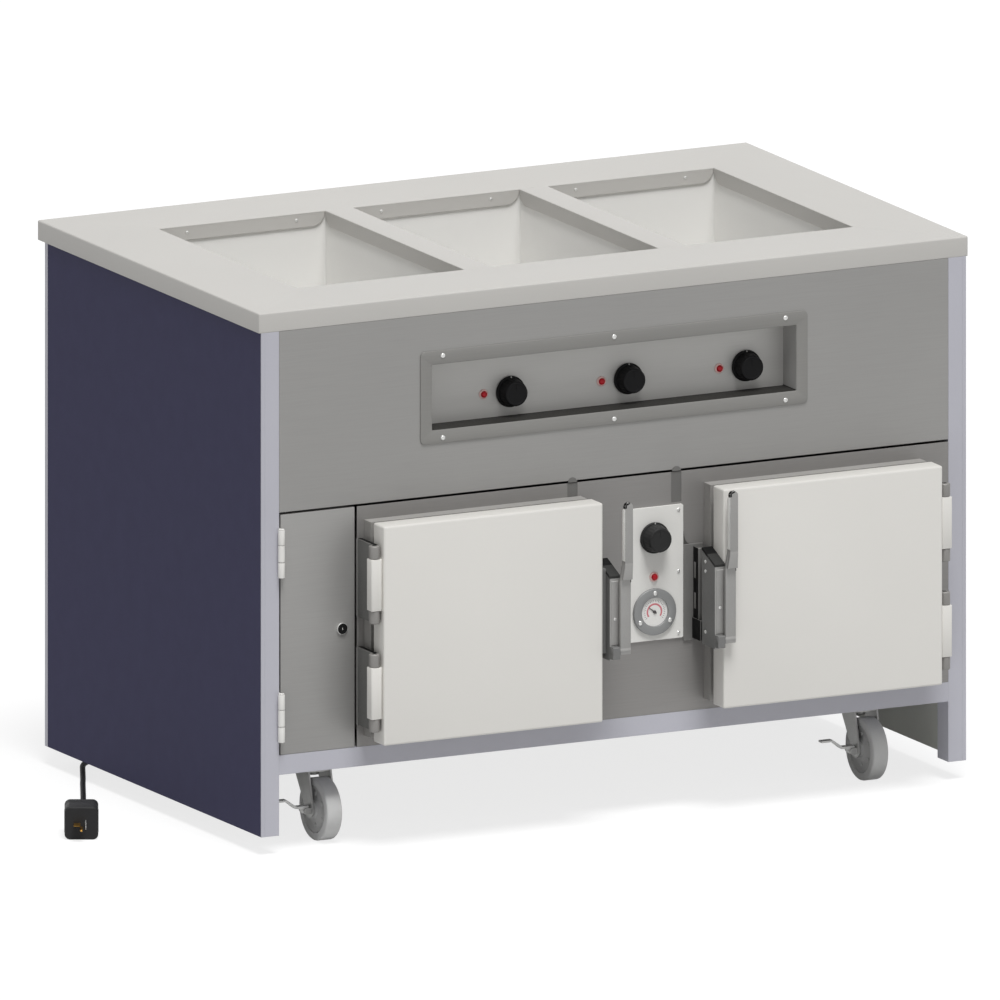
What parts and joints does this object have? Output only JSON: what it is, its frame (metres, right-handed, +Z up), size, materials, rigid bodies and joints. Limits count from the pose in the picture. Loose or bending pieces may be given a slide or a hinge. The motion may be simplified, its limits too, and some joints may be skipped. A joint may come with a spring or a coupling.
{
  "type": "mobile hot food counter",
  "caption": "Mobile serving counter with heated wells in its worktop, a recessed control strip, insulated cabinets with latched doors, a service door and swivel casters.",
  "frame": {"origin": "on the floor, under the middle of the counter's box without its cord", "axes": "+Z up, +X to the right for the operator who faces the controls, +Y from the controls to the back panel"},
  "size_m": [1.4908, 0.877, 0.887],
  "materials": {
    "frame_steel": "smooth satin enamel, pale lavender grey",
    "laminate": "matt navy high-pressure laminate",
    "stainless": "finely brushed stainless sheet",
    "worktop_steel": "pale satin stainless sheet",
    "inner_steel": "plain mill-finish sheet",
    "core_board": "moisture-resistant board under the worktop",
    "element": "dark sheathed tubular element",
    "pipe": "polished drain pipe",
    "lever": "dipped lever",
    "screw": "bright screws",
    "switch_body": "moulded switch bodies",
    "lamp_red": "red lens in a pale bezel",
    "knob": "black moulded knobs",
    "dial": "grey ring round a white dial",
    "hinge_steel": "grey cast hinge and latch bodies",
    "strike": "black strikes",
    "lock": "black cam lock with a bright rim",
    "door_skin": "smooth off-white insulated doors",
    "gasket": "dark grey seal",
    "caster_steel": "zinc-plated pressed steel",
    "tyre": "non-marking grey rubber",
    "cord_black": "black flexible cord",
    "plug_black": "black moulded plug with brass blades"
  },
  "bodies": {
    "counter": {"base_frame": "frame_steel", "body_frame": "frame_steel", "edge_trims": "frame_steel", "left_side_panel": "laminate", "right_side_panel": "laminate", "back_panel": "laminate", "control_panel": "stainless", "control_box": "stainless", "lower_facia": "stainless", "left_cabinet": "stainless", "right_cabinet": "stainless", "base_pan": "stainless", "junction_box": "stainless", "worktop": "worktop_steel", "well_liner_left": "worktop_steel", "well_liner_centre": "worktop_steel", "well_liner_right": "worktop_steel", "control_plate": "worktop_steel", "well_housings": "inner_steel", "cabinet_liners": "inner_steel", "pan_slides": "inner_steel", "worktop_core": "core_board", "heating_elements": "element", "drain_manifold": "pipe", "panel_screws": "screw", "control_switches": "switch_body", "pilot_lamps": "lamp_red", "thermometer": "dial", "hinge_brackets": "hinge_steel", "latch_strikes": "strike", "caster_plates": "caster_steel", "power_cord": "cord_black", "cord_coil": "cord_black", "strain_relief": "cord_black", "plug": "plug_black"},
    "caster_front_left": {"fork_front_left": "caster_steel"},
    "caster_wheel_front_left": {"wheel_front_left": "tyre"},
    "caster_front_right": {"fork_front_right": "caster_steel"},
    "caster_wheel_front_right": {"wheel_front_right": "tyre"},
    "caster_rear_left": {"fork_rear_left": "caster_steel"},
    "caster_wheel_rear_left": {"wheel_rear_left": "tyre"},
    "caster_rear_right": {"fork_rear_right": "caster_steel"},
    "caster_wheel_rear_right": {"wheel_rear_right": "tyre"},
    "brake_pedal_left": {"brake_left": "caster_steel"},
    "brake_pedal_right": {"brake_right": "caster_steel"},
    "knob_left": {"well_knob_left": "knob"},
    "knob_centre": {"well_knob_centre": "knob"},
    "knob_right": {"well_knob_right": "knob"},
    "knob_thermostat": {"thermostat_knob": "knob"},
    "service_door": {"access_door": "stainless"},
    "service_lock": {"access_lock": "lock"},
    "cabinet_door_left": {"left_door": "door_skin", "left_gasket": "gasket", "left_latch": "hinge_steel"},
    "cabinet_door_right": {"right_door": "door_skin", "right_gasket": "gasket", "right_latch": "hinge_steel"},
    "latch_handle_left": {"left_handle": "hinge_steel"},
    "latch_handle_right": {"right_handle": "hinge_steel"},
    "drain_lever": {"drain_valve_lever": "lever"}
  },
  "joints": [
    {"name": "swivel_front_left", "type": "hinge", "parent": "counter", "child": "caster_front_left", "pos_m": [-0.489, -0.2445, 0.113], "axis": [0, 0, 1], "continuous": true},
    {"name": "spin_front_left", "type": "hinge", "parent": "caster_front_left", "child": "caster_wheel_front_left", "pos_m": [-0.489, -0.2725, 0.0508], "axis": [1, 0, 0], "continuous": true},
    {"name": "swivel_front_right", "type": "hinge", "parent": "counter", "child": "caster_front_right", "pos_m": [0.489, -0.2445, 0.113], "axis": [0, 0, 1], "continuous": true},
    {"name": "spin_front_right", "type": "hinge", "parent": "caster_front_right", "child": "caster_wheel_front_right", "pos_m": [0.489, -0.2725, 0.0508], "axis": [1, 0, 0], "continuous": true},
    {"name": "swivel_rear_left", "type": "hinge", "parent": "counter", "child": "caster_rear_left", "pos_m": [-0.489, 0.3025, 0.113], "axis": [0, 0, 1], "continuous": true},
    {"name": "spin_rear_left", "type": "hinge", "parent": "caster_rear_left", "child": "caster_wheel_rear_left", "pos_m": [-0.489, 0.2745, 0.0508], "axis": [1, 0, 0], "continuous": true},
    {"name": "swivel_rear_right", "type": "hinge", "parent": "counter", "child": "caster_rear_right", "pos_m": [0.489, 0.3025, 0.113], "axis": [0, 0, 1], "continuous": true},
    {"name": "spin_rear_right", "type": "hinge", "parent": "caster_rear_right", "child": "caster_wheel_rear_right", "pos_m": [0.489, 0.2745, 0.0508], "axis": [1, 0, 0], "continuous": true},
    {"name": "brake_left", "type": "hinge", "parent": "caster_front_left", "child": "brake_pedal_left", "pos_m": [-0.517, -0.2695, 0.0498], "axis": [0, -1, 0], "range_deg": [0, 14]},
    {"name": "brake_right", "type": "hinge", "parent": "caster_front_right", "child": "brake_pedal_right", "pos_m": [0.461, -0.2695, 0.0498], "axis": [0, -1, 0], "range_deg": [0, 14]},
    {"name": "turn_well_left", "type": "hinge", "parent": "counter", "child": "knob_left", "pos_m": [-0.1635, -0.2985, 0.705], "axis": [0, 1, 0], "range_deg": [0, 300]},
    {"name": "turn_well_centre", "type": "hinge", "parent": "counter", "child": "knob_centre", "pos_m": [0.0475, -0.2985, 0.705], "axis": [0, 1, 0], "range_deg": [0, 300]},
    {"name": "turn_well_right", "type": "hinge", "parent": "counter", "child": "knob_right", "pos_m": [0.2585, -0.2985, 0.705], "axis": [0, 1, 0], "range_deg": [0, 300]},
    {"name": "turn_thermostat", "type": "hinge", "parent": "counter", "child": "knob_thermostat", "pos_m": [0.0705, -0.3455, 0.4516], "axis": [0, 1, 0], "range_deg": [0, 300]},
    {"name": "swing_service_door", "type": "hinge", "parent": "counter", "child": "service_door", "pos_m": [-0.5978, -0.3483, 0.3583], "axis": [0, 0, -1], "range_deg": [0, 170]},
    {"name": "turn_service_lock", "type": "hinge", "parent": "service_door", "child": "service_lock", "pos_m": [-0.4866, -0.3425, 0.3583], "axis": [0, -1, 0], "range_deg": [0, 90]},
    {"name": "swing_left_door", "type": "hinge", "parent": "counter", "child": "cabinet_door_left", "pos_m": [-0.4596, -0.4035, 0.3508], "axis": [0, 0, 1], "range_deg": [-180, 0]},
    {"name": "swing_right_door", "type": "hinge", "parent": "counter", "child": "cabinet_door_right", "pos_m": [0.5615, -0.4035, 0.3508], "axis": [0, 0, 1], "range_deg": [0, 180]},
    {"name": "pull_left_latch", "type": "hinge", "parent": "cabinet_door_left", "child": "latch_handle_left", "pos_m": [-0.0246, -0.4275, 0.2938], "axis": [1, 0, 0], "range_deg": [0, 30], "stiffness_Nm_per_rad": 0.4, "springref_deg": -17.19},
    {"name": "pull_right_latch", "type": "hinge", "parent": "cabinet_door_right", "child": "latch_handle_right", "pos_m": [0.1635, -0.4275, 0.2938], "axis": [1, 0, 0], "range_deg": [0, 30], "stiffness_Nm_per_rad": 0.4, "springref_deg": -17.19},
    {"name": "turn_drain_valve", "type": "hinge", "parent": "counter", "child": "drain_lever", "pos_m": [-0.5452, -0.2275, 0.42], "axis": [0, 1, 0], "range_deg": [0, 90]}
  ]
}
